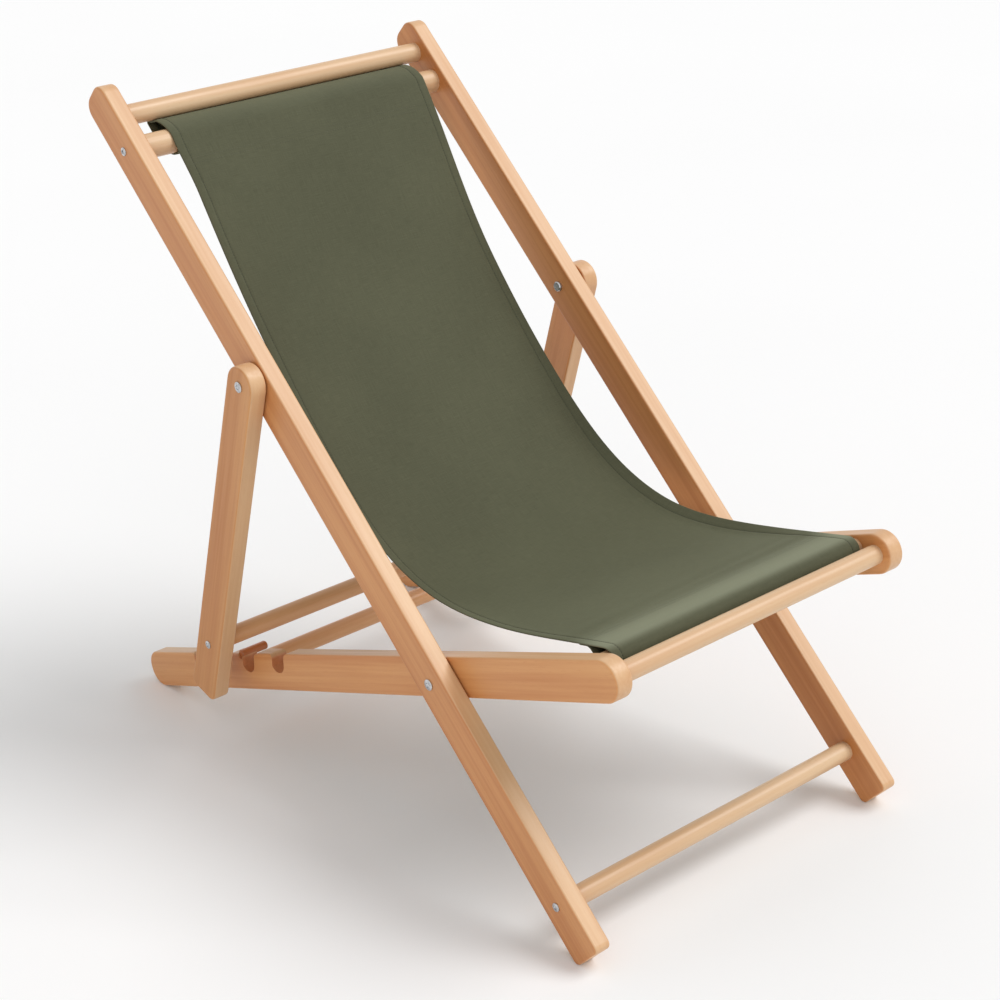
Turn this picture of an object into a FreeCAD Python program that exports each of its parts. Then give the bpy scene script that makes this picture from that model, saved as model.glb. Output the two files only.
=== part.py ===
import FreeCAD, Part
import math
import os
from FreeCAD import Placement, Rotation, Vector

# Folding wooden beach chair with a fabric sling.
# Three frames turn on bolts: the long back frame, the seat frame between its
# rails, and the prop frame outside them, whose bar stands over the notches.
# +X is across the chair, the front faces -Y, +Z is up, and the floor is Z = 0.

# Driving dimensions, in millimetres and degrees

# Rail stock, planed square and rounded over along its edges
rail_thickness = 24.0
rail_depth = 52.0
edge_round = 3.0
floor_flat = 1.0

# Round stock: most dowels, the crest rail and the rod in the sling's top pocket
dowel_diameter = 25.0
crest_diameter = 27.0
top_rod_diameter = 32.0
tenon_diameter = 16.0
tenon_length = 15.0
glue_gap = 0.05

# Back frame, measured along its rails from the seat pivot
back_width = 532.0
back_above_pivot = 882.0
back_below_pivot = 371.0
top_corner_radius = 18.0
foot_corner_radius = 8.0
crest_from_top = 42.0
top_rod_below_crest = 50.5
stretcher_from_foot = 70.0
prop_pivot_above = 436.0

# Seat frame, measured along its rails from the seat pivot
seat_angle = 116.0
seat_front = 316.0
seat_rear = 731.0
rear_top_radius = 23.0
rear_bottom_radius = 26.0
front_rail_from_end = 24.0
front_rod_gap = 6.5
front_rod_slope = 18.0
rear_stretcher_behind_bar = 46.0
rear_stretcher_drop = 1.5

# Notches in the top edge of the seat rails, upright on the open chair: one under the bar, one ahead
# and two behind it
front_notch_step = 75.5
rear_notch_step = 66.0
notch_depth = 27.0
notch_round = 10.0
notch_side_play = 1.0
notch_slant = 21.0
front_lip_radius = 12.0
rear_lip_radius = 5.0

# Pin bedded in the rear lip of the notch under the bar
pin_diameter = 12.0
pin_behind_bar = 17.0
pin_below_top = 2.0
pin_proud = 20.0
pin_end_round = 3.0

# Prop frame, measured along its rails from the prop pivot
prop_bar_reach = 424.0
prop_tail = 87.0
prop_corner_radius = 12.0
bar_clearance = 18.0

# Pivot hardware
bolt_diameter = 8.0
running_clearance = 0.05
face_play = 0.1
washer_thickness = 1.3
washer_diameter = 22.0
bolt_head_diameter = 14.0
bolt_head_height = 2.6
bolt_socket = 6.0
nut_diameter = 14.0
nut_height = 4.0
nut_crown = 1.2

# Screws in the ends of the dowels
screw_diameter = 4.5
screw_length = 45.0
screw_head_diameter = 11.0
screw_head_height = 2.2
screw_socket = 5.0
socket_depth = 1.5

# Sling, hung a little to one side; its top pocket is creased close under and behind the crest rail
sling_left_gap = 14.5
sling_right_gap = 1.5
sling_thickness = 2.0
sling_slack = 0.4
sling_sag = 206.0
sling_leave = 13.0
crease_radius = 3.0
crease_behind = 13.5
crease_clearance = 2.0
pocket_bulge = 6.8

# Values that follow

half_depth = rail_depth / 2
dowel_radius = dowel_diameter / 2
rail_gap = washer_thickness + 2 * face_play
back_outer = back_width / 2
back_inner = back_outer - rail_thickness
seat_outer = back_inner - rail_gap
seat_inner = seat_outer - rail_thickness
prop_inner = back_outer + rail_gap
prop_outer = prop_inner + rail_thickness
notch_width = dowel_diameter + 2 * notch_side_play
crest_along = back_above_pivot - crest_from_top
top_rod_along = crest_along - top_rod_below_crest
stretcher_along = stretcher_from_foot - back_below_pivot
rear_top_round = min(rear_top_radius, rail_depth - rear_bottom_radius - edge_round)
sling_left = sling_left_gap - seat_inner
sling_right = seat_inner - sling_right_gap


def along_rail(distance, height, angle):
    """Point of a member in the side view: distance along it and height over its centre line."""
    turn = math.radians(angle)
    y = distance * math.cos(turn) - height * math.sin(turn)
    z = distance * math.sin(turn) + height * math.cos(turn)
    return y, z


def back_tilt():
    """Angle of the back rails over the floor when the feet and the seat rails' rear ends both touch it."""
    foot = (foot_corner_radius - back_below_pivot, foot_corner_radius - half_depth)
    rear = along_rail(seat_rear - rear_bottom_radius, rear_bottom_radius - half_depth, seat_angle - 180)
    reach = math.hypot(foot[0] - rear[0], foot[1] - rear[1])
    bearing = math.atan2(foot[1] - rear[1], foot[0] - rear[0])
    rise = math.asin((foot_corner_radius - rear_bottom_radius) / reach)
    return math.degrees(math.pi - rise - bearing)


back_angle = back_tilt()
seat_rear_angle = back_angle + seat_angle - 180

# The prop leans so that its bar stands clear over the top edge of the seat rails.
prop_pivot = along_rail(prop_pivot_above, 0, back_angle)
pivot_over_seat = prop_pivot_above * math.sin(math.radians(180 - seat_angle))
bar_over_seat = half_depth + bar_clearance + dowel_radius
prop_lean = math.degrees(math.acos((pivot_over_seat - bar_over_seat) / prop_bar_reach))
prop_angle = seat_rear_angle - 90 + prop_lean
bar_behind_pivot = (prop_pivot_above * math.cos(math.radians(180 - seat_angle))
                    + prop_bar_reach * math.sin(math.radians(prop_lean)))


def placed(angle, origin=(0.0, 0.0)):
    """Placement of a member that runs from this point at this angle, in the side view."""
    return Placement(Vector(0, origin[0], origin[1]), Rotation(Vector(1, 0, 0), angle))


def line(start, end):
    """Straight edge in the side plane X = 0."""
    return Part.LineSegment(Vector(0, *start), Vector(0, *end)).toShape()


def arc(start, middle, end):
    """Circular edge through three points of the side plane X = 0."""
    return Part.Arc(Vector(0, *start), Vector(0, *middle), Vector(0, *end)).toShape()


def slab(edges, inner, outer):
    """Solid of the outline between two planes across the chair, on the +X side."""
    face = Part.Face(Part.Wire(Part.__sortEdges__(edges)))
    solid = face.extrude(Vector(outer - inner, 0, 0))
    solid.translate(Vector(inner, 0, 0))
    return solid


def rounded_bar_edges(start, end, radii):
    """Outline of a rail from start to end, with the radii of its four corners.

    The corners are end top, start top, start bottom and end bottom.
    """
    corners = [(end, half_depth), (start, half_depth), (start, -half_depth), (end, -half_depth)]
    heading = [(1, 1), (-1, 1), (-1, -1), (1, -1)]
    slant = math.sqrt(0.5)
    tangents = []
    edges = []
    for (y, z), (toward_y, toward_z), radius in zip(corners, heading, radii):
        centre_y = y - toward_y * radius
        centre_z = z - toward_z * radius
        on_end = (y, centre_z)
        on_side = (centre_y, z)
        middle = (centre_y + toward_y * radius * slant, centre_z + toward_z * radius * slant)
        first, last = (on_end, on_side) if toward_y == toward_z else (on_side, on_end)
        edges.append(arc(first, middle, last))
        tangents.append((first, last))
    for corner in range(4):
        leave = tangents[corner][1]
        reach = tangents[(corner + 1) % 4][0]
        if math.dist(leave, reach) > 1e-6:
            edges.append(line(leave, reach))
    return edges


def round_over(solid, inner, outer):
    """Rounds every edge of the two side faces of a rail."""
    rims = []
    for edge in solid.Edges:
        box = edge.BoundBox
        flat = box.XMax - box.XMin < 1e-6
        if flat and min(abs(box.XMin - inner), abs(box.XMin - outer)) < 1e-6:
            rims.append(edge)
    return solid.makeFillet(edge_round, rims)


def cylinder_across(radius, start, end, point):
    """Round bar along X between two planes, centred on a point of the side view."""
    return Part.makeCylinder(radius, end - start, Vector(start, *point), Vector(1, 0, 0))


def mirrored(solid):
    """The same piece on the other side of the chair."""
    return solid.mirror(Vector(0, 0, 0), Vector(1, 0, 0))


def both_sides(solid):
    """One group with the piece and its twin on the other side."""
    return Part.makeCompound([mirrored(solid), solid])


def tenon_socket(inner, point):
    """Cut for a dowel's tenon in the inner face of a rail."""
    return cylinder_across(tenon_diameter / 2 + glue_gap, inner, inner + tenon_length + glue_gap, point)


def screw_hole(outer, point):
    """Cut for a screw through a rail's outer wall."""
    return cylinder_across(screw_diameter / 2 + glue_gap, outer - rail_thickness, outer, point)


def pivot_hole(inner, outer, point):
    """Cut for a pivot bolt through a rail."""
    return cylinder_across(bolt_diameter / 2 + running_clearance, inner, outer, point)


def dowel(span, point, screwed, diameter=dowel_diameter):
    """Turned bar between two rails, with a tenon at each end and a pilot hole where a screw holds it."""
    body = cylinder_across(diameter / 2, -span, span, point)
    tenon = cylinder_across(tenon_diameter / 2, -span - tenon_length, span + tenon_length, point)
    bar = body.fuse(tenon).removeSplitter()
    if screwed:
        tip = span + rail_thickness - screw_length
        pilot = cylinder_across(screw_diameter / 2 + glue_gap, tip, span + tenon_length, point)
        bar = bar.cut(pilot).cut(mirrored(pilot))
    return bar


def hex_socket(across_flats, depth, outer):
    """Six-sided key hole sunk from the plane X = outer."""
    corner = across_flats / math.sqrt(3)
    points = []
    for step in range(7):
        turn = math.radians(60 * step)
        points.append(Vector(outer - depth, corner * math.cos(turn), corner * math.sin(turn)))
    return Part.Face(Part.makePolygon(points)).extrude(Vector(depth, 0, 0))


def headed_pin(shank_radius, length, head_radius, head_height, across_flats):
    """Bolt or screw along X: head on the plane X = 0, shank towards -X, crowned top with a key socket."""
    rim = head_height / 2
    dome = (head_radius ** 2 + rim ** 2) / (2 * rim)
    slope = math.asin(head_radius / dome) / 2
    crown = (head_height - dome * (1 - math.cos(slope)), dome * math.sin(slope))
    profile = [
        Part.LineSegment(Vector(-length, 0, 0), Vector(-length, shank_radius, 0)).toShape(),
        Part.LineSegment(Vector(-length, shank_radius, 0), Vector(0, shank_radius, 0)).toShape(),
        Part.LineSegment(Vector(0, shank_radius, 0), Vector(0, head_radius, 0)).toShape(),
        Part.LineSegment(Vector(0, head_radius, 0), Vector(rim, head_radius, 0)).toShape(),
        Part.Arc(Vector(rim, head_radius, 0), Vector(*crown, 0), Vector(head_height, 0, 0)).toShape(),
        Part.LineSegment(Vector(head_height, 0, 0), Vector(-length, 0, 0)).toShape(),
    ]
    pin = Part.Face(Part.Wire(profile)).revolve(Vector(0, 0, 0), Vector(1, 0, 0), 360)
    return pin.cut(hex_socket(across_flats, socket_depth, head_height))


def back_rail():
    """Long outer rail: rounded top, square-cut foot, sockets for three dowels and holes for two pivots."""
    radii = [top_corner_radius, foot_corner_radius, foot_corner_radius, top_corner_radius]
    solid = slab(rounded_bar_edges(-back_below_pivot, back_above_pivot, radii), back_inner, back_outer)
    solid = round_over(solid, back_inner, back_outer)
    for along in (crest_along, top_rod_along, stretcher_along):
        solid = solid.cut(tenon_socket(back_inner, (along, 0)))
    for along in (top_rod_along, stretcher_along):
        solid = solid.cut(screw_hole(back_outer, (along, 0)))
    for along in (0, prop_pivot_above):
        solid = solid.cut(pivot_hole(back_inner, back_outer, (along, 0)))
    solid.Placement = placed(back_angle)
    return solid


def notch_cut(centre, inner, outer):
    """Notch in a seat rail's top edge: straight walls that lean back going down, round bed, eased lips."""
    slant = math.radians(notch_slant)
    half = notch_width / 2 / math.cos(slant)
    bed = half_depth - notch_depth
    wall_foot = bed + notch_round
    foot_shift = (half_depth - notch_depth / 2 - wall_foot) * math.tan(slant)
    rise = (half_depth - wall_foot) / math.cos(slant)
    up = (-math.sin(slant), math.cos(slant))
    above = half_depth + edge_round
    feet = []
    mouth = []
    edges = []
    for side, lip in ((-1, front_lip_radius), (1, rear_lip_radius)):
        foot = (centre + foot_shift + side * half, wall_foot)
        corner = (foot[0] + up[0] * rise, half_depth)
        opening = (math.pi / 2 - side * slant) / 2
        ease = min(lip / math.tan(opening), rise - glue_gap)
        radius = ease * math.tan(opening)
        outside = (corner[0] + side * ease, half_depth)
        on_wall = (corner[0] - up[0] * ease, corner[1] - up[1] * ease)
        pole = (outside[0], half_depth - radius)
        away = math.dist(corner, pole)
        eased = (pole[0] + (corner[0] - pole[0]) * radius / away,
                 pole[1] + (corner[1] - pole[1]) * radius / away)
        edges.append(arc(outside, eased, on_wall))
        edges.append(line(on_wall, foot))
        edges.append(line(outside, (outside[0], above)))
        feet.append(foot)
        mouth.append((outside[0], above))
    edges.append(arc(feet[0], (centre + foot_shift, bed), feet[1]))
    edges.append(line(*mouth))
    return slab(edges, inner, outer)


# Places on the seat rail, measured from the seat pivot towards the rear end
middle_notch = bar_behind_pivot
notch_places = [middle_notch - front_notch_step, middle_notch,
                middle_notch + rear_notch_step, middle_notch + 2 * rear_notch_step]
front_rail_place = (front_rail_from_end - seat_front, 0.0)
rod_spacing = dowel_diameter + front_rod_gap
front_rod_place = (front_rail_place[0] + rod_spacing * math.cos(math.radians(front_rod_slope)),
                   rod_spacing * math.sin(math.radians(front_rod_slope)))
rear_stretcher_place = (middle_notch + rear_stretcher_behind_bar, -rear_stretcher_drop)
pin_place = (middle_notch + pin_behind_bar, half_depth - pin_below_top)


def seat_rail():
    """Inner rail: round front end, heel rounded for the floor, notches along its top edge."""
    radii = [rear_top_round, half_depth, half_depth, rear_bottom_radius]
    solid = slab(rounded_bar_edges(-seat_front, seat_rear, radii), seat_inner, seat_outer)
    solid = round_over(solid, seat_inner, seat_outer)
    for place in notch_places:
        solid = solid.cut(notch_cut(place, seat_inner, seat_outer))
    for place in (front_rail_place, front_rod_place, rear_stretcher_place):
        solid = solid.cut(tenon_socket(seat_inner, place))
    solid = solid.cut(pivot_hole(seat_inner, seat_outer, (0, 0)))
    solid = solid.cut(cylinder_across(pin_diameter / 2 + glue_gap, seat_inner, seat_outer, pin_place))
    solid.Placement = placed(seat_rear_angle)
    return solid


def notch_pin():
    """Short wooden pin bedded in the rear lip of the notch under the bar, with a rounded inner end."""
    pin = cylinder_across(pin_diameter / 2, seat_inner - pin_proud, seat_outer - edge_round, pin_place)
    tip = [edge for edge in pin.Edges if abs(edge.BoundBox.XMax - (seat_inner - pin_proud)) < 1e-6]
    pin = pin.makeFillet(pin_end_round, tip)
    pin.Placement = placed(seat_rear_angle)
    return pin


def prop_rail():
    """Prop: round top on its pivot bolt, square-cut tail, socket and screw hole for the bar."""
    end = prop_bar_reach + prop_tail
    radii = [prop_corner_radius, half_depth, half_depth, prop_corner_radius]
    solid = slab(rounded_bar_edges(-half_depth, end, radii), prop_inner, prop_outer)
    solid = round_over(solid, prop_inner, prop_outer)
    solid = solid.cut(tenon_socket(prop_inner, (prop_bar_reach, 0)))
    solid = solid.cut(screw_hole(prop_outer, (prop_bar_reach, 0)))
    solid = solid.cut(pivot_hole(prop_inner, prop_outer, (0, 0)))
    solid.Placement = placed(prop_angle, prop_pivot)
    return solid


def screws(outer, point):
    """Pair of screws in the ends of one dowel."""
    shank = screw_diameter / 2
    screw = headed_pin(shank, screw_length, screw_head_diameter / 2, screw_head_height, screw_socket)
    screw.translate(Vector(outer, *point))
    return both_sides(screw)


def pivot_bolts(outer, inner, point):
    """Pair of pivot bolts: head on the outer plane, end inside the nut on the inner plane."""
    grip = outer + face_play - inner + nut_height / 2
    radius = bolt_head_diameter / 2
    bolt = headed_pin(bolt_diameter / 2, grip, radius, bolt_head_height, bolt_socket)
    bolt.translate(Vector(outer + face_play, *point))
    return both_sides(bolt)


def pivot_nuts(inner, point):
    """Pair of low cap nuts on the bolts' ends."""
    radius = nut_diameter / 2
    seat = inner - face_play
    nut = cylinder_across(radius, seat - nut_height, seat, point)
    crown = [edge for edge in nut.Edges if abs(edge.BoundBox.XMax - (seat - nut_height)) < 1e-6]
    nut = nut.makeChamfer(nut_crown, crown)
    bore = cylinder_across(bolt_diameter / 2 + glue_gap, seat - nut_height / 2 - face_play, seat, point)
    return both_sides(nut.cut(bore))


def pivot_washers(inner, point):
    """Pair of flat washers between two rails."""
    start = inner + face_play
    disc = cylinder_across(washer_diameter / 2, start, start + washer_thickness, point)
    hole = cylinder_across(bolt_diameter / 2 + running_clearance, start, start + washer_thickness, point)
    return both_sides(disc.cut(hole))


def around(centre, radius, turn):
    """Point on a circle of the side view, at an angle in radians."""
    return centre[0] + radius * math.cos(turn), centre[1] + radius * math.sin(turn)


def moved_aside(points, distance):
    """Points moved sideways by a distance, square to the run of the curve through them."""
    moved = []
    for index, (y, z) in enumerate(points):
        before = points[max(index - 1, 0)]
        after = points[min(index + 1, len(points) - 1)]
        run = math.dist(before, after)
        aside = ((after[1] - before[1]) / run, (before[0] - after[0]) / run)
        moved.append((y + aside[0] * distance, z + aside[1] * distance))
    return moved


def smooth_edge(points):
    """Smooth curve through points of the side plane."""
    curve = Part.BSplineCurve()
    curve.interpolate([Vector(0, *point) for point in points])
    return curve.toShape()


def sagging_points(start, end):
    """Upper surface of the hanging sling between the points where it leaves its two rods.

    Each pair is a share of the straight line between them and the share of the full sag there.
    """
    sag_shares = [(0.243, 0.549), (0.473, 0.908), (0.626, 1.0), (0.733, 0.898), (0.842, 0.594)]
    chord = (end[0] - start[0], end[1] - start[1])
    length = math.hypot(*chord)
    down = (-chord[1] / length, chord[0] / length)
    points = [start]
    for share, depth in sag_shares:
        drop = sling_sag * depth
        points.append((start[0] + chord[0] * share + down[0] * drop,
                       start[1] + chord[1] * share + down[1] * drop))
    points.append(end)
    return points


def bulged(start, end, bulge):
    """Circular edge between two points that stands out to the left of the line between them."""
    run = math.dist(start, end)
    middle = ((start[0] + end[0]) / 2 - (end[1] - start[1]) / run * bulge,
              (start[1] + end[1]) / 2 + (end[0] - start[0]) / run * bulge)
    return arc(start, middle, end)


def pocket_edges(top, rod_wall, crease, crease_wall, bulge, start_turn):
    """Loop of the top pocket: round the rod, up the back, over the crease and down the front.

    It starts at an angle on the rod's far side and ends in front of the rod.
    """
    quarter = math.pi / 2
    axis = math.atan2(crease[1] - top[1], crease[0] - top[0])
    spread = math.acos((rod_wall - crease_wall) / math.dist(top, crease))
    back = axis - spread
    fold_front = axis + spread
    return [
        arc(around(top, rod_wall, start_turn), around(top, rod_wall, math.pi), around(top, rod_wall, back)),
        line(around(top, rod_wall, back), around(crease, crease_wall, back)),
        arc(around(crease, crease_wall, back), around(crease, crease_wall, axis),
            around(crease, crease_wall, fold_front)),
        bulged(around(top, rod_wall, quarter), around(crease, crease_wall, fold_front), bulge),
    ]


def sling_piece():
    """Fabric sling: a pocket folded up over the top rod, the hanging seat and a close front pocket."""
    top_bore = top_rod_diameter / 2 + sling_slack
    top_wall = top_bore + sling_thickness
    top_inset = math.acos(top_bore / top_wall)
    bore = dowel_radius + sling_slack
    wall = bore + sling_thickness
    inset = math.acos(bore / wall)
    quarter = math.pi / 2
    leave = quarter + math.radians(sling_leave)
    top = (top_rod_along, 0.0)
    crest_reach = crest_diameter / 2 + crease_clearance + crease_radius
    crease = (crest_along - math.sqrt(crest_reach ** 2 - crease_behind ** 2), -crease_behind)
    front = along_rail(*front_rod_place, seat_angle - 180)
    landing = math.radians(seat_angle) - quarter

    reach_front = around(front, wall, landing)
    upper = sagging_points(around(top, top_wall, leave), reach_front)
    lower = moved_aside(upper, -sling_thickness)
    lower[0] = around(top, top_wall, leave + top_inset)
    lower[-1] = around(front, wall, landing - inset)
    behind = around(front, wall, landing + math.pi)
    outline = [
        smooth_edge(upper),
        arc(reach_front, around(front, wall, landing + quarter), behind),
        arc(behind, around(front, wall, landing - quarter), lower[-1]),
        smooth_edge(lower),
        arc(around(top, top_wall, quarter), around(top, top_wall, (quarter + leave) / 2), upper[0]),
    ]
    outline += pocket_edges(top, top_wall, crease, crease_radius, pocket_bulge, leave + top_inset)
    pocket = pocket_edges(top, top_bore, crease, crease_radius - sling_thickness, pocket_bulge, quarter)
    solid = slab(outline, sling_left, sling_right)
    solid = solid.cut(slab(pocket, sling_left, sling_right))
    solid = solid.cut(cylinder_across(bore, sling_left, sling_right, front))
    solid.Placement = placed(back_angle)
    return solid


# Pieces, in the side view's frame with the seat pivot at its origin
crest_point = along_rail(crest_along, 0, back_angle)
top_rod_point = along_rail(top_rod_along, 0, back_angle)
stretcher_point = along_rail(stretcher_along, 0, back_angle)
front_rail_point = along_rail(*front_rail_place, seat_rear_angle)
front_rod_point = along_rail(*front_rod_place, seat_rear_angle)
rear_stretcher_point = along_rail(*rear_stretcher_place, seat_rear_angle)
bar_y, bar_z = along_rail(prop_bar_reach, 0, prop_angle)
bar_point = (prop_pivot[0] + bar_y, prop_pivot[1] + bar_z)
seat_pivot = (0.0, 0.0)

pieces = {
    "right_back_rail": back_rail(),
    "crest_rail": dowel(back_inner, crest_point, False, crest_diameter),
    "top_sling_rod": dowel(back_inner, top_rod_point, True, top_rod_diameter),
    "foot_stretcher": dowel(back_inner, stretcher_point, True),
    "top_rod_screws": screws(back_outer, top_rod_point),
    "foot_stretcher_screws": screws(back_outer, stretcher_point),
    "seat_pivot_bolts": pivot_bolts(back_outer, seat_inner, seat_pivot),
    "seat_pivot_nuts": pivot_nuts(seat_inner, seat_pivot),
    "seat_pivot_washers": pivot_washers(seat_outer, seat_pivot),
    "prop_pivot_bolts": pivot_bolts(prop_outer, back_inner, prop_pivot),
    "prop_pivot_nuts": pivot_nuts(back_inner, prop_pivot),
    "prop_pivot_washers": pivot_washers(back_outer, prop_pivot),
    "right_seat_rail": seat_rail(),
    "front_rail": dowel(seat_inner, front_rail_point, False),
    "front_sling_rod": dowel(seat_inner, front_rod_point, False),
    "rear_stretcher": dowel(seat_inner, rear_stretcher_point, False),
    "notch_pins": both_sides(notch_pin()),
    "right_prop": prop_rail(),
    "prop_bar": dowel(prop_inner, bar_point, True),
    "prop_bar_screws": screws(prop_outer, bar_point),
    "sling": sling_piece(),
}

# The chair stands on the floor, with the middle of its box over the origin.
foot_along = foot_corner_radius - back_below_pivot
foot_y, foot_z = along_rail(foot_along, foot_corner_radius - half_depth, back_angle)
pivot_height = foot_corner_radius - foot_z - floor_flat
box = Part.makeCompound(list(pieces.values())).optimalBoundingBox()
set_down = Vector(0, -(box.YMin + box.YMax) / 2, pivot_height)
for solid in pieces.values():
    solid.translate(set_down)

# Feet and heels are dressed flat where they stand.
reach = box.YLength
ground = Part.makeBox(back_width, 2 * reach, rail_depth, Vector(-back_width / 2, -reach, -rail_depth))
for rail in ("back_rail", "seat_rail"):
    pieces["right_" + rail] = pieces["right_" + rail].cut(ground)
for rail in ("back_rail", "seat_rail", "prop"):
    pieces["left_" + rail] = mirrored(pieces["right_" + rail])

os.makedirs("parts", exist_ok=True)
for name, shape in pieces.items():
    if not shape.isValid():
        raise ValueError(name + " is not a valid solid")
    shape.exportStep(os.path.join("parts", name + ".step"))

print("seat pivot", 0.0, set_down.y, set_down.z)
print("prop pivot", 0.0, prop_pivot[0] + set_down.y, prop_pivot[1] + set_down.z)
print("back rail angle", back_angle, "seat rail angle", -seat_rear_angle, "prop angle", prop_angle)
print("bar stands", bar_behind_pivot, "behind the seat pivot")
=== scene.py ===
import math

import bpy
import numpy as np
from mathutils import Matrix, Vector


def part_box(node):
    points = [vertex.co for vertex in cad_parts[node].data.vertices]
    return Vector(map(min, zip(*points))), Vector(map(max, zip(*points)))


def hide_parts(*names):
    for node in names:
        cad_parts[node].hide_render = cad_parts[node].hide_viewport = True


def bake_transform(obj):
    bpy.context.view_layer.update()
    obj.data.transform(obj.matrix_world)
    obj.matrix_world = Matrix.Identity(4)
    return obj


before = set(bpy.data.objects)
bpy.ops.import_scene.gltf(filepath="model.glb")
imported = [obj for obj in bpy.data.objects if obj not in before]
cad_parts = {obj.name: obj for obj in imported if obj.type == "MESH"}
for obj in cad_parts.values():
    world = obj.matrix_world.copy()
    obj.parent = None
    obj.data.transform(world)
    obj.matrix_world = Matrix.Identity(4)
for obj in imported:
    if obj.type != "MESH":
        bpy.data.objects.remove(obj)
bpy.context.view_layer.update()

bpy.ops.object.select_all(action="DESELECT")


# Back rails
# Two long outer rails of straight-grained hardwood, planed to 24 by 52 mm, rounded over and oiled.
# They lean back at the angle that the two dowels at their top give; the right one gets darker, warmer
# colours, a painted shade of the sling over its inner face.

def linear(red, green, blue):
    """Shader colour from the eight-bit values of a swatch."""
    channels = []
    for value in (red, green, blue):
        share = value / 255
        channels.append(share / 12.92 if share <= 0.04045 else ((share + 0.055) / 1.055) ** 2.4)
    return (*channels, 1.0)


def side_middle(node):
    """Middle of a node in the side view: its place along Y and its height."""
    low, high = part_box(node)
    middle = (low + high) / 2
    return np.array((middle.y, middle.z))


def link(tree, start, end):
    """Joins an output to an input."""
    tree.links.new(start, end)


def sum_of(tree, first, second, operation="ADD", clamp=False):
    """Math node on two inputs, each a socket or a number."""
    node = tree.nodes.new("ShaderNodeMath")
    node.operation = operation
    node.use_clamp = clamp
    for socket, value in zip(node.inputs, (first, second)):
        if isinstance(value, (int, float)):
            socket.default_value = value
        else:
            link(tree, value, socket)
    return node.outputs[0]


def eased(tree, value, low, high, start=0.0, end=1.0):
    """Smooth step of a value from one range to another."""
    node = tree.nodes.new("ShaderNodeMapRange")
    node.interpolation_type = "SMOOTHSTEP"
    link(tree, value, node.inputs["Value"])
    for name, number in zip(("From Min", "From Max", "To Min", "To Max"), (low, high, start, end)):
        node.inputs[name].default_value = number
    return node.outputs["Result"]


def stretched(tree, vector, along, across, detail):
    """Noise drawn out along the first axis: its scale along the grain and across it."""
    scale = tree.nodes.new("ShaderNodeVectorMath")
    scale.operation = "MULTIPLY"
    scale.inputs[1].default_value = (along, across, across)
    link(tree, vector, scale.inputs[0])
    noise = tree.nodes.new("ShaderNodeTexNoise")
    noise.inputs["Scale"].default_value = 1.0
    noise.inputs["Detail"].default_value = detail
    link(tree, scale.outputs[0], noise.inputs["Vector"])
    return noise.outputs["Fac"]


def mixed(tree, share, first, second):
    """Blend of two colours, each a socket or a colour, by a share."""
    node = tree.nodes.new("ShaderNodeMix")
    node.data_type = "RGBA"
    link(tree, share, node.inputs["Factor"])
    colours = [socket for socket in node.inputs if socket.type == "RGBA"]
    for socket, value in zip(colours, (first, second)):
        if isinstance(value, tuple):
            socket.default_value = value
        else:
            link(tree, value, socket)
    return [socket for socket in node.outputs if socket.type == "RGBA"][0]


def make_planed_wood():
    """Straight-grained wood, with the grain along the first axis of its vector."""
    group = bpy.data.node_groups.new("planed_wood", "ShaderNodeTree")
    group.interface.new_socket("Vector", in_out="INPUT", socket_type="NodeSocketVector")
    for name in ("Pale", "Deep"):
        group.interface.new_socket(name, in_out="INPUT", socket_type="NodeSocketColor")
    group.interface.new_socket("Color", in_out="OUTPUT", socket_type="NodeSocketColor")
    for name in ("Roughness", "Height"):
        group.interface.new_socket(name, in_out="OUTPUT", socket_type="NodeSocketFloat")
    given = group.nodes.new("NodeGroupInput")
    result = group.nodes.new("NodeGroupOutput")
    vector = given.outputs["Vector"]

    figure = stretched(group, vector, 1.5, 58.0, 2.0)
    drift = stretched(group, vector, 2.6, 7.0, 1.0)
    streak = stretched(group, vector, 6.0, 260.0, 3.0)
    pore = stretched(group, vector, 75.0, 1100.0, 1.0)
    parts = group.nodes.new("ShaderNodeSeparateXYZ")
    link(group, vector, parts.inputs[0])
    layer = sum_of(group, parts.outputs["Y"], sum_of(group, parts.outputs["Z"], 0.55, "MULTIPLY"))
    layer = sum_of(group, layer, sum_of(group, figure, 0.010, "MULTIPLY"))
    ring_width = 0.0058
    growth = sum_of(group, sum_of(group, layer, 2 * math.pi / ring_width, "MULTIPLY"), 0.0, "SINE")
    growth = eased(group, growth, 0.1, 1.0)

    tone = eased(group, figure, 0.32, 0.68, 0.10, 0.52)
    tone = sum_of(group, tone, eased(group, drift, 0.3, 0.7, 0.0, 0.28))
    tone = sum_of(group, tone, eased(group, streak, 0.3, 0.7, -0.05, 0.13))
    tone = sum_of(group, tone, sum_of(group, growth, -0.05, "MULTIPLY"), clamp=True)
    colour = mixed(group, tone, given.outputs["Deep"], given.outputs["Pale"])
    fleck = eased(group, pore, 0.60, 0.74, 0.0, 0.30)
    colour = mixed(group, fleck, colour, given.outputs["Deep"])
    link(group, colour, result.inputs["Color"])
    link(group, eased(group, streak, 0.3, 0.7, 0.44, 0.35), result.inputs["Roughness"])
    height = sum_of(group, streak, sum_of(group, fleck, -1.2, "MULTIPLY"))
    link(group, height, result.inputs["Height"])
    return group


planed_wood = make_planed_wood()


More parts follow.
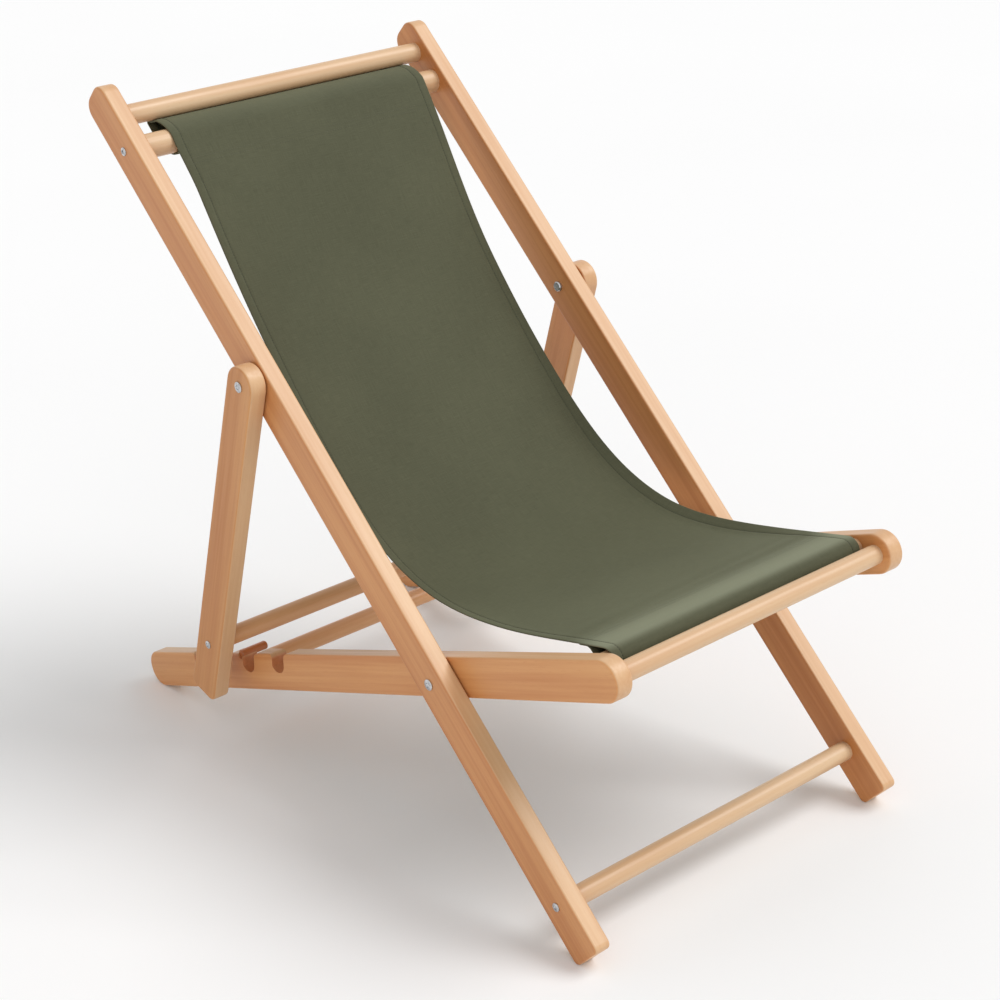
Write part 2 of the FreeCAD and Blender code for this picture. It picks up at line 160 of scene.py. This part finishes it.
def wood(name, turn, pale, deep, shift=0.0, notches=None):
    """Oiled wood whose grain runs along a member turned by an angle in the side view; None runs across.

    The pale and the deep colour are each given for the broad faces and for the narrow ones; the paler
    narrow-face colours are a painted sheen of the key light.
    Notches are given by their run along the member and the height of its middle over the turned axis;
    their walls get a darker colour, a painted shade of the notch.
    """
    material = bpy.data.materials.new(name)
    material.use_nodes = True
    tree = material.node_tree
    shader = tree.nodes["Principled BSDF"]
    place = tree.nodes.new("ShaderNodeTexCoord")
    mapping = tree.nodes.new("ShaderNodeMapping")
    link(tree, place.outputs["Object"], mapping.inputs["Vector"])
    vector = mapping.outputs["Vector"]
    if turn is not None:
        mapping.inputs["Rotation"].default_value = (-turn, 0.0, 0.0)
        swap = tree.nodes.new("ShaderNodeMapping")
        swap.inputs["Rotation"].default_value = (0.0, 0.0, -math.pi / 2)
        link(tree, vector, swap.inputs["Vector"])
        vector = swap.outputs["Vector"]
    mapping.inputs["Location"].default_value = (shift, shift, 0.0)
    grain = tree.nodes.new("ShaderNodeGroup")
    grain.node_tree = planed_wood
    facing = tree.nodes.new("ShaderNodeSeparateXYZ")
    link(tree, place.outputs["Normal"], facing.inputs[0])
    narrow = eased(tree, sum_of(tree, facing.outputs["X"], 0.0, "ABSOLUTE"), 0.85, 0.45)
    pale_mix = mixed(tree, narrow, *pale)
    deep_mix = mixed(tree, narrow, *deep)
    if notches:
        start, end, middle = notches
        parts = tree.nodes.new("ShaderNodeSeparateXYZ")
        link(tree, vector, parts.inputs[0])
        run = parts.outputs["X"]
        height = parts.outputs["Z"]
        fade = 0.006
        under_lip = (middle + 0.024, middle + 0.017)
        over_floor = (middle - 0.022, middle - 0.018)
        # Painted shade: the notch walls get darker colours than the narrow faces around them.
        notch_shade = narrow
        for axis, low, high in ((run, start, start + fade), (run, end, end - fade),
                                (height, *under_lip), (height, *over_floor)):
            notch_shade = sum_of(tree, notch_shade, eased(tree, axis, low, high), "MULTIPLY")
        notch_shade_pale = linear(214, 145, 96)
        notch_shade_deep = linear(184, 116, 73)
        pale_mix = mixed(tree, notch_shade, pale_mix, notch_shade_pale)
        deep_mix = mixed(tree, notch_shade, deep_mix, notch_shade_deep)
    link(tree, pale_mix, grain.inputs["Pale"])
    link(tree, deep_mix, grain.inputs["Deep"])
    link(tree, vector, grain.inputs["Vector"])
    bump = tree.nodes.new("ShaderNodeBump")
    bump.inputs["Strength"].default_value = 0.25
    bump.inputs["Distance"].default_value = 0.0002
    link(tree, grain.outputs["Height"], bump.inputs["Height"])
    link(tree, grain.outputs["Color"], shader.inputs["Base Color"])
    link(tree, grain.outputs["Roughness"], shader.inputs["Roughness"])
    link(tree, bump.outputs["Normal"], shader.inputs["Normal"])
    shader.inputs["Specular IOR Level"].default_value = 0.55
    return material


def finish_nodes(names, material):
    """Gives one material to every slot of these nodes."""
    for name in names:
        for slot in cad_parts[name].material_slots:
            slot.material = material


crest = side_middle("crest_rail")
top_rod = side_middle("top_sling_rod")
up_back = (crest - top_rod) / np.linalg.norm(crest - top_rod)
back_turn = math.atan2(up_back[1], up_back[0])
# Painted highlight: the narrow faces of the rails get these paler colours, a painted sheen of the key
# light on the faces turned to it.
sheen_edge_pale = linear(220, 181, 138)
sheen_edge_deep = linear(204, 155, 110)
back_pale = (linear(217, 156, 99), sheen_edge_pale)
back_deep = (linear(187, 117, 64), sheen_edge_deep)
finish_nodes(["left_back_rail"], wood("left_back_wood", back_turn, back_pale, back_deep))
# Painted shade: the right rail's colours are darker for the shade the sling casts on its inner face.
right_shade_pale = (linear(209, 144, 84), sheen_edge_pale)
right_shade_deep = (linear(177, 106, 51), sheen_edge_deep)
finish_nodes(["right_back_rail"], wood("right_back_wood", back_turn, right_shade_pale, right_shade_deep))


# Seat rails
# Two inner rails of the same stock, with round front ends and notches sawn in their top edges.
# They turn on the bolts where they cross the back rails; the notch walls get a darker colour, a painted
# shade of the notch.

seat_lean = math.radians(-20.376)
seat_pale = (linear(227, 169, 109), sheen_edge_pale)
seat_deep = (linear(198, 128, 71), sheen_edge_deep)
seat_shift = 0.31
front_bolt = side_middle("seat_pivot_bolts")
bolt_along = front_bolt[0] * math.cos(seat_lean) + front_bolt[1] * math.sin(seat_lean)
bolt_height = front_bolt[1] * math.cos(seat_lean) - front_bolt[0] * math.sin(seat_lean)
first_notch = 0.33
last_notch = 0.64
notch_run = (bolt_along + seat_shift + first_notch, bolt_along + seat_shift + last_notch, bolt_height)
finish_nodes(["left_seat_rail", "right_seat_rail"],
             wood("seat_rail_wood", seat_lean, seat_pale, seat_deep, seat_shift, notch_run))


# Props
# Two short outer rails of the same stock, round at the top and cut off at the bottom.
# Each swings on a bolt through its back rail and holds one end of the bar that drops in the notches.

prop_lean = math.radians(-72.653)
prop_pale = (linear(212, 153, 93), sheen_edge_pale)
prop_deep = (linear(183, 115, 58), sheen_edge_deep)
finish_nodes(["left_prop"], wood("left_prop_wood", prop_lean, prop_pale, prop_deep, shift=0.57))
# The right prop takes the same darker colours, painted shade as on the right back rail.
finish_nodes(["right_prop"], wood("right_prop_wood", prop_lean, right_shade_pale, right_shade_deep, shift=0.83))


# Dowels
# Turned bars between the rails, glued or screwed by their tenons; paler than the rails. The two at the
# back get a warmer copy of the colours, painted to offset the green light the canvas throws on them in
# the shade.

dowel_pale = (linear(210, 163, 116), linear(221, 190, 152))
dowel_deep = (linear(190, 138, 90), linear(203, 159, 117))
finish_nodes(["crest_rail", "top_sling_rod", "foot_stretcher", "front_rail", "front_sling_rod"],
             wood("dowel_wood", None, dowel_pale, dowel_deep))
# Painted light: a warmer copy for the two shaded dowels at the back, against the green bounce from the
# canvas.
rear_shaded_copy_pale = (linear(206, 148, 100), linear(228, 178, 130))
rear_shaded_copy_deep = (linear(186, 122, 74), linear(208, 148, 96))
finish_nodes(["rear_stretcher", "prop_bar"],
             wood("rear_dowel_wood", None, rear_shaded_copy_pale, rear_shaded_copy_deep, shift=0.21))


# Notch pins
# Two short pegs, glued into a groove in the rear lip of a notch; their redder colour is painted warm
# bounce light in the shaded notch.

pin_bounce_pale = (linear(208, 140, 86), linear(208, 134, 80))
pin_bounce_deep = (linear(180, 108, 60), linear(180, 104, 58))
finish_nodes(["notch_pins"], wood("pin_wood", None, pin_bounce_pale, pin_bounce_deep, shift=0.13))


# Screws, bolts, nuts and washers
# Plated steel, bright, with a fine turned grain and a little dulling on the heads.

def plated_steel():
    """Bright plated steel with cloudy dulling."""
    material = bpy.data.materials.new("plated_steel")
    material.use_nodes = True
    tree = material.node_tree
    shader = tree.nodes["Principled BSDF"]
    place = tree.nodes.new("ShaderNodeTexCoord")
    cloud = stretched(tree, place.outputs["Object"], 260.0, 260.0, 3.0)
    turned = stretched(tree, place.outputs["Object"], 400.0, 3200.0, 1.0)
    colour = mixed(tree, eased(tree, cloud, 0.35, 0.65), linear(206, 207, 208), linear(176, 177, 180))
    link(tree, colour, shader.inputs["Base Color"])
    link(tree, eased(tree, cloud, 0.3, 0.7, 0.22, 0.38), shader.inputs["Roughness"])
    bump = tree.nodes.new("ShaderNodeBump")
    bump.inputs["Strength"].default_value = 0.2
    bump.inputs["Distance"].default_value = 0.0001
    link(tree, turned, bump.inputs["Height"])
    link(tree, bump.outputs["Normal"], shader.inputs["Normal"])
    shader.inputs["Metallic"].default_value = 1.0
    return material


finish_nodes(["top_rod_screws", "foot_stretcher_screws", "prop_bar_screws", "seat_pivot_bolts",
              "seat_pivot_washers", "seat_pivot_nuts", "prop_pivot_bolts", "prop_pivot_washers",
              "prop_pivot_nuts"], plated_steel())


# Sling
# One length of olive canvas, hemmed along both sides. Each end is folded over a rod and sewn down
# to its own back: the top pocket is creased up under the crest rail, the front one is a little slack.

cloth = 0.0009
hem_width = 0.0145
hem_line = 0.0128
hem_roll = 0.00095
field_columns = 54
top_wrap = 0.0184
front_wrap = 0.0165
front_slack = 0.0020
sag_depth = 0.206
sag_shape = [(0.243, 0.549), (0.473, 0.908), (0.626, 1.0), (0.733, 0.898), (0.842, 0.594)]
crease_radius = 0.003
crease_behind = 0.0147
crease_gap = 0.0008
pocket_bulge = 0.0068
crest_radius = 0.0135
tail_offset = 0.0034
tail_turn = 0.1
front_round = math.radians(205.0)
olive_dark = linear(69, 70, 51)
olive_light = linear(92, 93, 71)
front_rod = side_middle("front_sling_rod")
out_front = np.array((-up_back[1], up_back[0]))
front_turn = back_turn + math.pi / 2
leave_turn = front_turn + math.radians(13.0)
low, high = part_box("sling")
sling_left = low.x
sling_right = high.x


def on_circle(centre, radius, turn):
    """Point of the side view at an angle on a circle."""
    return centre + radius * np.array((math.cos(turn), math.sin(turn)))


def arc_points(centre, radius, start, end, count):
    """Points along an arc of the side view."""
    return [on_circle(centre, radius, start + (end - start) * step / count) for step in range(count + 1)]


def smooth_points(knots, count):
    """Points along a natural cubic curve through knots of the side view."""
    knots = np.array(knots)
    gaps = np.linalg.norm(np.diff(knots, axis=0), axis=1)
    places = np.concatenate(([0.0], np.cumsum(gaps)))
    size = len(knots)
    matrix = np.eye(size)
    right = np.zeros((size, 2))
    for index in range(1, size - 1):
        before, after = gaps[index - 1], gaps[index]
        matrix[index, index - 1:index + 2] = (before, 2 * (before + after), after)
        right[index] = 6 * ((knots[index + 1] - knots[index]) / after
                            - (knots[index] - knots[index - 1]) / before)
    bend = np.linalg.solve(matrix, right)
    points = []
    for place in np.linspace(0.0, places[-1], count + 1):
        index = min(int(np.searchsorted(places, place, side="right")) - 1, size - 2)
        gap = gaps[index]
        after = (place - places[index]) / gap
        before = 1 - after
        points.append(before * knots[index] + after * knots[index + 1]
                      + ((before ** 3 - before) * bend[index] + (after ** 3 - after) * bend[index + 1])
                      * gap * gap / 6)
    return points


def run_normals(points):
    """Outward direction at each point of a run, to the right of its travel in the side view."""
    travel = np.gradient(np.array(points), axis=0)
    travel /= np.linalg.norm(travel, axis=1)[:, None]
    return np.stack((travel[:, 1], -travel[:, 0]), axis=1)


# The hanging part, from the front of the top rod to where it meets the front loop at a tangent
leave_top = on_circle(top_rod, top_wrap, leave_turn)
seat_up = math.pi / 2 + seat_lean
front_loop_middle = on_circle(front_rod, front_slack, seat_up)
landing_rounds = 6
for _ in range(landing_rounds):
    reach_front = on_circle(front_loop_middle, front_wrap, seat_up)
    chord = reach_front - leave_top
    down = np.array((-chord[1], chord[0])) / np.linalg.norm(chord)
    hang = [leave_top]
    for share, depth in sag_shape:
        hang.append(leave_top + chord * share + down * depth * sag_depth)
    hang.append(reach_front)
    hanging = smooth_points(hang, 250)
    landing = hanging[-1] - hanging[-2]
    seat_up = math.atan2(landing[1], landing[0]) % (2 * math.pi) - math.pi / 2
below = -run_normals(hanging)

# The top pocket, from its sewn tail round the back of the rod and over the crease
crest_reach = crest_radius + crease_gap + crease_radius
crease = (crest - up_back * math.sqrt(crest_reach ** 2 - crease_behind ** 2) - out_front * crease_behind)
axis = math.atan2(*(crease - top_rod)[::-1])
spread = math.acos((top_wrap - crease_radius) / np.linalg.norm(crease - top_rod))
top_tail = [hanging[step] + below[step] * tail_offset for step in (10, 9, 8, 7, 6)]
under_turn = back_turn + math.pi
round_back = arc_points(top_rod, top_wrap, under_turn + tail_turn, axis - spread + 2 * math.pi, 12)
over_crease = arc_points(crease, crease_radius, axis - spread, axis + spread, 7)
crease_front = over_crease[-1]
rod_front = on_circle(top_rod, top_wrap, front_turn)
half_run = np.linalg.norm(rod_front - crease_front) / 2
pocket_radius = (half_run ** 2 + pocket_bulge ** 2) / (2 * pocket_bulge)
run = (rod_front - crease_front) / (2 * half_run)
bulge_way = np.array((run[1], -run[0]))
pocket_centre = (crease_front + rod_front) / 2 - bulge_way * (pocket_radius - pocket_bulge)
start_turn = math.atan2(*(crease_front - pocket_centre)[::-1])
end_turn = math.atan2(*(rod_front - pocket_centre)[::-1])
pocket_front = arc_points(pocket_centre, pocket_radius, start_turn, end_turn, 10)
pocket_front += arc_points(top_rod, top_wrap, front_turn, leave_turn, 3)[1:]
top_loop = smooth_points(top_tail + round_back, 60)
back_layer = [round_back[-1] + (over_crease[0] - round_back[-1]) * step / 8 for step in range(1, 8)]

# The front pocket, round the front rod and back to its sewn tail
round_front = arc_points(front_loop_middle, front_wrap, seat_up, seat_up + front_round, 22)
front_tail = [hanging[step] + below[step] * tail_offset for step in (-8, -9, -10, -11)]
front_loop = smooth_points(round_front[-3:] + front_tail, 26)

path = top_loop + back_layer + over_crease + pocket_front[1:]
path += hanging[1:] + round_front[1:-3] + front_loop
# The crest rail presses the pocket in where the two touch
pressed = crest_radius + crease_gap
for step, point in enumerate(path):
    away = point - crest
    path[step] = crest + away * max(1.0, pressed / np.linalg.norm(away))
path = [point for step, point in enumerate(path)
        if step == 0 or np.linalg.norm(point - path[step - 1]) > 1e-5]
outward = run_normals(path)
along = np.concatenate(([0.0], np.cumsum(np.linalg.norm(np.diff(np.array(path), axis=0), axis=1))))
hang_start = float(along[len(top_loop) + len(back_layer) + len(over_crease) + len(pocket_front) - 2])
crease_start = float(along[len(top_loop) + len(back_layer) - 1])
hang_end = hang_start + float(np.linalg.norm(np.diff(np.array(hanging), axis=0), axis=1).sum())


def hem_columns(edge, inward):
    """Columns of one hem, from its inner turned edge round the fold to the far side of its stitches."""
    roll = hem_roll
    groove = 0.00035
    swell = -0.0002
    columns = [(edge + inward * hem_width, 2 * roll)]
    columns.append((edge + inward * hem_width * 0.5, 2 * roll))
    for step in range(5):
        turn = math.pi * step / 4
        columns.append((edge + inward * roll * (1 - math.sin(turn)), roll * (1 + math.cos(turn))))
    for place, dip in ((0.004, swell), (0.008, swell), (hem_line - 0.0012, swell / 2),
                       (hem_line - 0.0004, groove), (hem_line + 0.0004, groove),
                       (hem_line + 0.0013, 0.0), (hem_line + 0.004, 0.0)):
        columns.append((edge + inward * place, dip))
    return columns


left_columns = hem_columns(sling_left, 1.0)
right_columns = hem_columns(sling_right, -1.0)
field_start = left_columns[-1][0]
field_end = right_columns[-1][0]
field_step = (field_end - field_start) / field_columns
field = [(field_start + field_step * step, 0.0) for step in range(1, field_columns)]
columns = left_columns + field + right_columns[::-1]
across = np.concatenate(([0.0], np.cumsum([math.dist(a, b) for a, b in zip(columns, columns[1:])])))
sling_middle = (sling_left + sling_right) / 2
sling_half = (sling_right - sling_left) / 2


def hang_share(place):
    """How far along the hanging part a place on the path is, from 0 to 1."""
    return min(max((place - hang_start) / (hang_end - hang_start), 0.0), 1.0)


def smooth_step(value, low, high):
    """Rise from 0 to 1 between two values."""
    share = min(max((value - low) / (high - low), 0.0), 1.0)
    return share * share * (3 - 2 * share)


def drape(share, side):
    """Give of the cloth at a place: a shallow tray between the stiff hems, with faint creases."""
    belly_depth = 0.004
    front_fold = 0.0015
    top_fold = 0.0005
    tray_depth = 0.009
    left_lip = 0.003
    right_lip = 0.009
    lip_run = 0.024
    belly = math.sin(math.pi * share) ** 1.5 * (1 - side * side) * belly_depth
    near_front = math.exp(-((share - 0.945) / 0.032) ** 2)
    near_top = math.exp(-((share - 0.05) / 0.05) ** 2)
    folds = front_fold * near_front * math.sin(185.0 * share + 2.2 * side) * (0.7 + 0.3 * side)
    folds += top_fold * near_top * math.sin(7.0 * side - 30.0 * share)
    inside = sling_half * (1 - abs(side))
    lip_height = right_lip if side > 0 else left_lip
    tray = tray_depth - lip_height * max(1 - inside / lip_run, 0.0) ** 2
    tray *= smooth_step(share, 0.30, 0.62) * smooth_step(share, 1.0, 0.80)
    return belly + folds * (1 - side ** 6) * math.sin(math.pi * share) ** 0.5 + tray


def pulled(x, share, behind=0.0):
    """Place across the chair: the pull along the cloth draws both edges in, more on the right.

    The back layer of the top pocket is sewn a little askew, further in at the left.
    """
    left_waist = 0.005
    left_flare = 0.008
    right_waist = 0.0115
    right_flare = 0.0045
    askew = 0.007
    left_draw = left_waist * smooth_step(share, 0.0, 0.08) - left_flare * smooth_step(share, 0.7, 1.0)
    right_draw = right_waist * smooth_step(share, 0.0, 0.26) - right_flare * smooth_step(share, 0.78, 1.0)
    part = (x - sling_left) / (sling_right - sling_left)
    return x + (left_draw + askew * behind) * (1 - part) - right_draw * part


def behind_rod(place):
    """How far a place on the path is round the back of the top pocket: 1 on its tail, 0 at the crease."""
    return smooth_step(place, crease_start - 0.010, crease_start - 0.050)


def on_sling(step, x, depth):
    """Point of the cloth: a step along the path, a place across and a depth under its face."""
    share = hang_share(along[step])
    give = drape(share, (x - sling_middle) / sling_half)
    point = path[step] - outward[step] * (depth + give)
    return (pulled(x, share, behind_rod(along[step])), point[0], point[1])


points = []
for step in range(len(path)):
    for x, depth in columns:
        points.append(on_sling(step, x, depth))
width = len(columns)
faces = []
for step in range(len(path) - 1):
    for column in range(width - 1):
        first = step * width + column
        faces.append((first, first + 1, first + 1 + width, first + width))
mesh = bpy.data.meshes.new("sling_cloth")
mesh.from_pydata(points, [], faces)
layout = mesh.uv_layers.new(name="cloth")
for loop in mesh.loops:
    step, column = divmod(loop.vertex_index, width)
    layout.data[loop.index].uv = (across[column], along[step])
mesh.update()
sling = bpy.data.objects.new("sling_cloth", mesh)
bpy.context.scene.collection.objects.link(sling)
bpy.context.view_layer.objects.active = sling
sling.select_set(True)
middle = mesh.polygons[(len(path) // 2) * (width - 1) + width // 2]
if middle.normal.z < 0:
    mesh.flip_normals()
bpy.ops.object.shade_smooth()
thick = sling.modifiers.new("cloth thickness", "SOLIDIFY")
thick.thickness = cloth
thick.offset = -1.0
bpy.ops.object.modifier_apply(modifier=thick.name)
bpy.ops.object.select_all(action="DESELECT")


def canvas():
    """Plain-woven olive canvas, in metres of its own cloth: fine threads, slubs, a soft fade and painted
    highlights.
    """
    material = bpy.data.materials.new("olive_canvas")
    material.use_nodes = True
    tree = material.node_tree
    shader = tree.nodes["Principled BSDF"]
    place = tree.nodes.new("ShaderNodeUVMap")
    place.uv_map = "cloth"
    vector = place.outputs["UV"]
    parts = tree.nodes.new("ShaderNodeSeparateXYZ")
    link(tree, vector, parts.inputs[0])
    thread = 0.00075
    warp = sum_of(tree, sum_of(tree, parts.outputs["X"], math.pi / thread, "MULTIPLY"), 0.0, "SINE")
    weft = sum_of(tree, sum_of(tree, parts.outputs["Y"], math.pi / thread, "MULTIPLY"), 0.0, "SINE")
    weave = sum_of(tree, warp, weft, "MULTIPLY")
    cross = tree.nodes.new("ShaderNodeMapping")
    cross.inputs["Rotation"].default_value = (0.0, 0.0, math.pi / 2)
    link(tree, vector, cross.inputs["Vector"])
    slub = stretched(tree, vector, 55.0, 1300.0, 2.0)
    slub_along = stretched(tree, cross.outputs["Vector"], 55.0, 1300.0, 2.0)
    fade = stretched(tree, vector, 5.0, 5.0, 2.0)
    tone = eased(tree, slub, 0.25, 0.75, 0.0, 0.32)
    tone = sum_of(tree, tone, eased(tree, slub_along, 0.25, 0.75, 0.0, 0.32))
    tone = sum_of(tree, tone, eased(tree, fade, 0.3, 0.7, 0.0, 0.24))
    tone = sum_of(tree, tone, eased(tree, weave, -1.0, 1.0, -0.06, 0.12), clamp=True)
    colour = mixed(tree, tone, olive_dark, olive_light)
    # Painted highlights: a paler band where the cloth bends over the front rod and a fainter one on the
    # top pocket's front, in place of the light's sheen.
    painted_sheen = linear(137, 140, 117)
    down_cloth = parts.outputs["Y"]
    front_rod_highlight = eased(tree, down_cloth, hang_end - 0.066, hang_end - 0.010, 0.0, 0.72)
    front_rod_highlight = sum_of(tree, front_rod_highlight, eased(tree, down_cloth, hang_end + 0.015, hang_end), "MULTIPLY")
    pocket_highlight = eased(tree, down_cloth, hang_start - 0.003, hang_start - 0.042, 0.0, 0.17)
    pocket_highlight = sum_of(tree, pocket_highlight, eased(tree, down_cloth, crease_start - 0.01, crease_start), "MULTIPLY")
    colour = mixed(tree, sum_of(tree, front_rod_highlight, pocket_highlight), colour, painted_sheen)
    link(tree, colour, shader.inputs["Base Color"])
    link(tree, eased(tree, weave, -1.0, 1.0, 0.86, 0.74), shader.inputs["Roughness"])
    height = sum_of(tree, eased(tree, weave, -1.0, 1.0), sum_of(tree, slub, slub_along))
    bump = tree.nodes.new("ShaderNodeBump")
    bump.inputs["Strength"].default_value = 0.35
    bump.inputs["Distance"].default_value = 0.00015
    link(tree, height, bump.inputs["Height"])
    link(tree, bump.outputs["Normal"], shader.inputs["Normal"])
    shader.inputs["Specular IOR Level"].default_value = 0.25
    shader.inputs["Sheen Weight"].default_value = 0.5
    shader.inputs["Sheen Roughness"].default_value = 0.45
    shader.inputs["Sheen Tint"].default_value = linear(150, 156, 128)
    return material


sling.data.materials.append(canvas())


# Stitches of the sling
# Lockstitch: one row along each hem, in a thread darker than the cloth that paints the shadow line of the
# hem's groove, and two rows across the tail of each pocket in a thread of the cloth's own colour.

def thread(name, dark, light):
    """Twisted sewing thread between two colours."""
    material = bpy.data.materials.new(name)
    material.use_nodes = True
    tree = material.node_tree
    shader = tree.nodes["Principled BSDF"]
    place = tree.nodes.new("ShaderNodeTexCoord")
    twist = stretched(tree, place.outputs["Object"], 900.0, 2400.0, 2.0)
    colour = mixed(tree, eased(tree, twist, 0.3, 0.7), dark, light)
    link(tree, colour, shader.inputs["Base Color"])
    link(tree, eased(tree, twist, 0.3, 0.7, 0.75, 0.6), shader.inputs["Roughness"])
    bump = tree.nodes.new("ShaderNodeBump")
    bump.inputs["Strength"].default_value = 0.4
    bump.inputs["Distance"].default_value = 0.0001
    link(tree, twist, bump.inputs["Height"])
    link(tree, bump.outputs["Normal"], shader.inputs["Normal"])
    return material


stitch_pitch = 0.0038
bpy.ops.mesh.primitive_uv_sphere_add(segments=8, ring_count=5, radius=1.0)
pattern = bpy.context.object
stitch_size = (0.00155, 0.00034, 0.00026)
bpy.ops.transform.resize(value=stitch_size)
bpy.ops.object.transform_apply(location=False, rotation=False, scale=True)
stitch_points = np.array([vertex.co for vertex in pattern.data.vertices])
stitch_faces = [tuple(face.vertices) for face in pattern.data.polygons]
bpy.data.objects.remove(pattern, do_unlink=True)


def place_at(distance):
    """Point and outward direction of the path at a distance along it."""
    step = int(np.searchsorted(along, distance)) - 1
    step = min(max(step, 0), len(path) - 2)
    share = (distance - along[step]) / (along[step + 1] - along[step])
    point = path[step] + (path[step + 1] - path[step]) * share
    normal = outward[step] + (outward[step + 1] - outward[step]) * share
    return point, normal / np.linalg.norm(normal)


def stitch_rows(name, rows):
    """One mesh of stitches from rows of (place, run direction, face direction)."""
    points = []
    faces = []
    for place, run, face in rows:
        run = run / np.linalg.norm(run)
        side = np.cross(face, run)
        base = len(points)
        for x, y, z in stitch_points:
            points.append(tuple(place + run * x + side * y + face * z))
        for corners in stitch_faces:
            faces.append(tuple(base + corner for corner in corners))
    mesh = bpy.data.meshes.new(name)
    mesh.from_pydata(points, [], faces)
    mesh.update()
    piece = bpy.data.objects.new(name, mesh)
    bpy.context.scene.collection.objects.link(piece)
    for polygon in mesh.polygons:
        polygon.use_smooth = True
    return piece


hem_rows = []
hem_depth = 2 * hem_roll
sunk = 0.00012
sunk_behind = 0.00005
look_ahead = 0.001
for edge, inward in ((sling_left, 1.0), (sling_right, -1.0)):
    x = edge + inward * hem_line
    side = (x - sling_middle) / sling_half
    count = int(along[-1] / stitch_pitch)
    for number in range(count):
        distance = (number + 0.5) * stitch_pitch
        point, normal = place_at(distance)
        ahead, _ = place_at(min(distance + look_ahead, along[-1]))
        share = hang_share(distance)
        run = np.array((0.0, *(ahead - point)))
        face = np.array((0.0, *normal))
        sideways = pulled(x, share, behind_rod(distance))
        spot = np.array((sideways, *(point - normal * drape(share, side))))
        hem_rows.append((spot - face * sunk, run, face))
        hem_rows.append((spot - face * (hem_depth + sunk_behind), run, -face))
pocket_rows = []
row_margin = 0.002
top_seam = (hang_start + 0.034, hang_start + 0.041)
front_seam = (hang_end - 0.036, hang_end - 0.042)
for start in top_seam + front_seam:
    point, normal = place_at(start)
    for number in range(int((2 * sling_half - 2 * row_margin) / stitch_pitch)):
        x = sling_left + row_margin + (number + 0.5) * stitch_pitch
        share = hang_share(start)
        give = drape(share, (x - sling_middle) / sling_half)
        face = np.array((0.0, *normal))
        spot = np.array((pulled(x, share), *(point - normal * give)))
        pocket_rows.append((spot, np.array((1.0, 0.0, 0.0)), face))
hem_stitches = stitch_rows("sling_hem_stitches", hem_rows)
# Painted shade: the dark hem thread draws the shadow line of the hem's groove.
hem_stitches.data.materials.append(thread("hem_thread", linear(42, 44, 31), linear(62, 64, 47)))
pocket_stitches = stitch_rows("sling_pocket_stitches", pocket_rows)
pocket_stitches.data.materials.append(thread("pocket_thread", olive_dark, olive_light))

for piece in (sling, hem_stitches, pocket_stitches):
    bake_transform(piece)
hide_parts("sling")


# Floor, light and camera
# A pale plain floor that keeps the chair's shadow, a wide soft light from high on the right,
# a weak fill from the front left, and the camera where the photograph was taken from.

def floor_paint():
    """Matt white floor with a trace of unevenness."""
    material = bpy.data.materials.new("studio_floor")
    material.use_nodes = True
    tree = material.node_tree
    shader = tree.nodes["Principled BSDF"]
    place = tree.nodes.new("ShaderNodeTexCoord")
    cloud = stretched(tree, place.outputs["Object"], 0.8, 0.8, 2.0)
    colour = mixed(tree, cloud, linear(250, 250, 250), linear(247, 247, 247))
    link(tree, colour, shader.inputs["Base Color"])
    shader.inputs["Roughness"].default_value = 0.9
    shader.inputs["Specular IOR Level"].default_value = 0.0
    return material


floor_size = 60.0
floor_gap = 0.0005
bpy.ops.mesh.primitive_plane_add(size=floor_size, location=(0.0, 0.0, -floor_gap))
floor = bpy.context.object
floor.name = "studio_floor"
floor.data.materials.append(floor_paint())
bpy.ops.object.select_all(action="DESELECT")

world = bpy.data.worlds.new("studio")
bpy.context.scene.world = world
world.use_nodes = True
tree = world.node_tree
tree.nodes.clear()
sky = tree.nodes.new("ShaderNodeBackground")
sky.inputs["Color"].default_value = (1.0, 1.0, 1.0, 1.0)
rays = tree.nodes.new("ShaderNodeLightPath")
seen = sum_of(tree, rays.outputs["Is Camera Ray"], rays.outputs["Is Glossy Ray"])
seen = sum_of(tree, seen, rays.outputs["Is Transmission Ray"], clamp=True)
ambient = 0.6
link(tree, sum_of(tree, sum_of(tree, seen, 1.0 - ambient, "MULTIPLY"), ambient), sky.inputs["Strength"])
result = tree.nodes.new("ShaderNodeOutputWorld")
link(tree, sky.outputs[0], result.inputs["Surface"])


def soft_light(name, way, spread, strength):
    """Wide soft light from a direction, with the width it has in the sky in degrees."""
    lamp = bpy.data.lights.new(name, "SUN")
    lamp.angle = math.radians(spread)
    lamp.energy = strength
    lamp_object = bpy.data.objects.new(name, lamp)
    bpy.context.scene.collection.objects.link(lamp_object)
    lamp_object.rotation_euler = Vector(way).to_track_quat("Z", "Y").to_euler()


soft_light("key_light", (0.48, -0.38, 0.79), 36.0, 1.6)
soft_light("fill_light", (-0.62, -0.70, 0.36), 60.0, 0.35)

camera = bpy.data.cameras.new("camera")
camera.sensor_width = 36.0
camera.sensor_fit = "HORIZONTAL"
camera.lens = 78.822
camera.clip_end = 200.0
camera_object = bpy.data.objects.new("camera", camera)
bpy.context.scene.collection.objects.link(camera_object)
camera_object.location = (-1.67990, -1.99792, 1.53304)
camera_object.rotation_euler = (math.radians(65.8703), math.radians(1.7583), math.radians(-41.1897))
bpy.context.scene.camera = camera_object
bpy.context.scene.view_settings.view_transform = "Standard"
